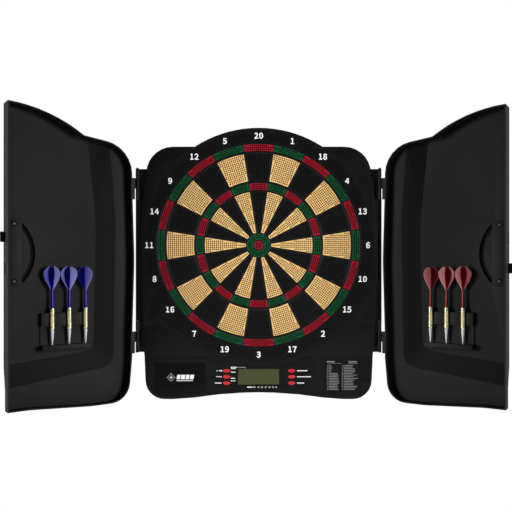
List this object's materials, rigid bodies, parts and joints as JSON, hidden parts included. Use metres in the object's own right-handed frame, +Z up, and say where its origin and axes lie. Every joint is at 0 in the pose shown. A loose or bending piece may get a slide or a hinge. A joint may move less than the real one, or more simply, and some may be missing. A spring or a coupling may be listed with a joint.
{
  "type": "dart board cabinet",
  "caption": "Wall-hung electronic dart board in a moulded black cabinet, with two hinged doors that each carry a rack of three darts, and a control panel below the board.",
  "frame": {"origin": "on the wall plane, straight behind the bull", "axes": "+Z up, +Y into the wall, +X to the right as the player sees the board"},
  "size_m": [0.8869, 0.1868, 0.538],
  "materials": {
    "housing": "fine matt black moulding",
    "catch_ring": "matt black, perforated",
    "spider": "satin black",
    "rear_cover": "matt black",
    "door": "fine leather-grained dark grey",
    "gloss_panel": "polished black",
    "card": "printed black card",
    "print": "white print",
    "key_green": "satin green",
    "key_red": "satin red",
    "key_tan": "satin tan",
    "key_black": "satin black",
    "button": "soft-touch red",
    "lcd_glass": "olive liquid crystal behind a clear window",
    "film": "clear film with printed tracks",
    "foam": "closed-cell foam",
    "circuit_board": "green solder mask",
    "rubber": "matt black rubber",
    "steel": "bright steel",
    "brass": "pale plated brass",
    "dart_tip": "grey nylon",
    "flight_blue": "glossy blue",
    "flight_red": "glossy red"
  },
  "bodies": {
    "cabinet": {"front_housing": "housing", "rear_cover": "rear_cover", "control_fascia": "housing", "catch_ring": "catch_ring", "spider": "spider", "sensor_membrane": "film", "foam_backing": "foam", "main_board": "circuit_board", "lcd_module": "film", "lcd_lens": "lcd_glass", "speaker": "rubber", "left_button_pad": "rubber", "right_button_pad": "rubber", "power_jack": "rubber", "badge_panel": "gloss_panel", "game_card": "card", "left_upper_hinge_pin": "steel", "left_lower_hinge_pin": "steel", "right_upper_hinge_pin": "steel", "right_lower_hinge_pin": "steel"},
    "double_keys": {"double_keys": "key_green"},
    "outer_single_keys": {"outer_single_keys": "key_tan"},
    "treble_keys": {"treble_keys": "key_red"},
    "inner_single_keys": {"inner_single_keys": "key_black"},
    "outer_bull_key": {"outer_bull_key": "key_green"},
    "inner_bull_key": {"inner_bull_key": "key_red"},
    "up_button": {"up_button": "button"},
    "down_button": {"down_button": "button"},
    "enter_button": {"enter_button": "button"},
    "power_button": {"power_button": "button"},
    "game_button": {"game_button": "button"},
    "next_button": {"next_button": "button"},
    "left_door": {"left_door": "door", "left_catch_plate": "door", "left_catch_tab": "rubber", "left_dart_rack": "door"},
    "left_dart_1": {"left_dart_1_point": "dart_tip", "left_dart_1_barrel": "brass", "left_dart_1_flight": "flight_blue"},
    "left_dart_2": {"left_dart_2_point": "dart_tip", "left_dart_2_barrel": "brass", "left_dart_2_flight": "flight_blue"},
    "left_dart_3": {"left_dart_3_point": "dart_tip", "left_dart_3_barrel": "brass", "left_dart_3_flight": "flight_blue"},
    "right_door": {"right_door": "door", "right_catch_plate": "door", "right_catch_tab": "rubber", "right_dart_rack": "door"},
    "right_dart_1": {"right_dart_1_point": "dart_tip", "right_dart_1_barrel": "brass", "right_dart_1_flight": "flight_red"},
    "right_dart_2": {"right_dart_2_point": "dart_tip", "right_dart_2_barrel": "brass", "right_dart_2_flight": "flight_red"},
    "right_dart_3": {"right_dart_3_point": "dart_tip", "right_dart_3_barrel": "brass", "right_dart_3_flight": "flight_red"}
  },
  "joints": [
    {"name": "left_door_hinge", "type": "hinge", "parent": "cabinet", "child": "left_door", "pos_m": [-0.2356, -0.037, 0], "axis": [0, 0, -1], "range_deg": [-140.4, 38.6]},
    {"name": "left_dart_1_lift", "type": "slide", "parent": "left_door", "child": "left_dart_1", "axis": [0, 0, 1], "range_m": [0, 0.035]},
    {"name": "left_dart_2_lift", "type": "slide", "parent": "left_door", "child": "left_dart_2", "axis": [0, 0, 1], "range_m": [0, 0.035]},
    {"name": "left_dart_3_lift", "type": "slide", "parent": "left_door", "child": "left_dart_3", "axis": [0, 0, 1], "range_m": [0, 0.035]},
    {"name": "right_door_hinge", "type": "hinge", "parent": "cabinet", "child": "right_door", "pos_m": [0.2356, -0.037, 0], "axis": [0, 0, 1], "range_deg": [-147.1, 31.9]},
    {"name": "right_dart_1_lift", "type": "slide", "parent": "right_door", "child": "right_dart_1", "axis": [0, 0, 1], "range_m": [0, 0.035]},
    {"name": "right_dart_2_lift", "type": "slide", "parent": "right_door", "child": "right_dart_2", "axis": [0, 0, 1], "range_m": [0, 0.035]},
    {"name": "right_dart_3_lift", "type": "slide", "parent": "right_door", "child": "right_dart_3", "axis": [0, 0, 1], "range_m": [0, 0.035]},
    {"name": "up_button_press", "type": "slide", "parent": "cabinet", "child": "up_button", "axis": [0, 1, 0], "range_m": [0, 0.001], "stiffness_N_per_m": 300},
    {"name": "down_button_press", "type": "slide", "parent": "cabinet", "child": "down_button", "axis": [0, 1, 0], "range_m": [0, 0.001], "stiffness_N_per_m": 300},
    {"name": "enter_button_press", "type": "slide", "parent": "cabinet", "child": "enter_button", "axis": [0, 1, 0], "range_m": [0, 0.001], "stiffness_N_per_m": 300},
    {"name": "power_button_press", "type": "slide", "parent": "cabinet", "child": "power_button", "axis": [0, 1, 0], "range_m": [0, 0.001], "stiffness_N_per_m": 300},
    {"name": "game_button_press", "type": "slide", "parent": "cabinet", "child": "game_button", "axis": [0, 1, 0], "range_m": [0, 0.001], "stiffness_N_per_m": 300},
    {"name": "next_button_press", "type": "slide", "parent": "cabinet", "child": "next_button", "axis": [0, 1, 0], "range_m": [0, 0.001], "stiffness_N_per_m": 300},
    {"name": "double_keys_press", "type": "slide", "parent": "cabinet", "child": "double_keys", "axis": [0, 1, 0], "range_m": [0, 0.0008], "stiffness_N_per_m": 1500},
    {"name": "outer_single_keys_press", "type": "slide", "parent": "cabinet", "child": "outer_single_keys", "axis": [0, 1, 0], "range_m": [0, 0.0008], "stiffness_N_per_m": 1500},
    {"name": "treble_keys_press", "type": "slide", "parent": "cabinet", "child": "treble_keys", "axis": [0, 1, 0], "range_m": [0, 0.0008], "stiffness_N_per_m": 1500},
    {"name": "inner_single_keys_press", "type": "slide", "parent": "cabinet", "child": "inner_single_keys", "axis": [0, 1, 0], "range_m": [0, 0.0008], "stiffness_N_per_m": 1500},
    {"name": "outer_bull_key_press", "type": "slide", "parent": "cabinet", "child": "outer_bull_key", "axis": [0, 1, 0], "range_m": [0, 0.0008], "stiffness_N_per_m": 1500},
    {"name": "inner_bull_key_press", "type": "slide", "parent": "cabinet", "child": "inner_bull_key", "axis": [0, 1, 0], "range_m": [0, 0.0008], "stiffness_N_per_m": 1500}
  ]
}
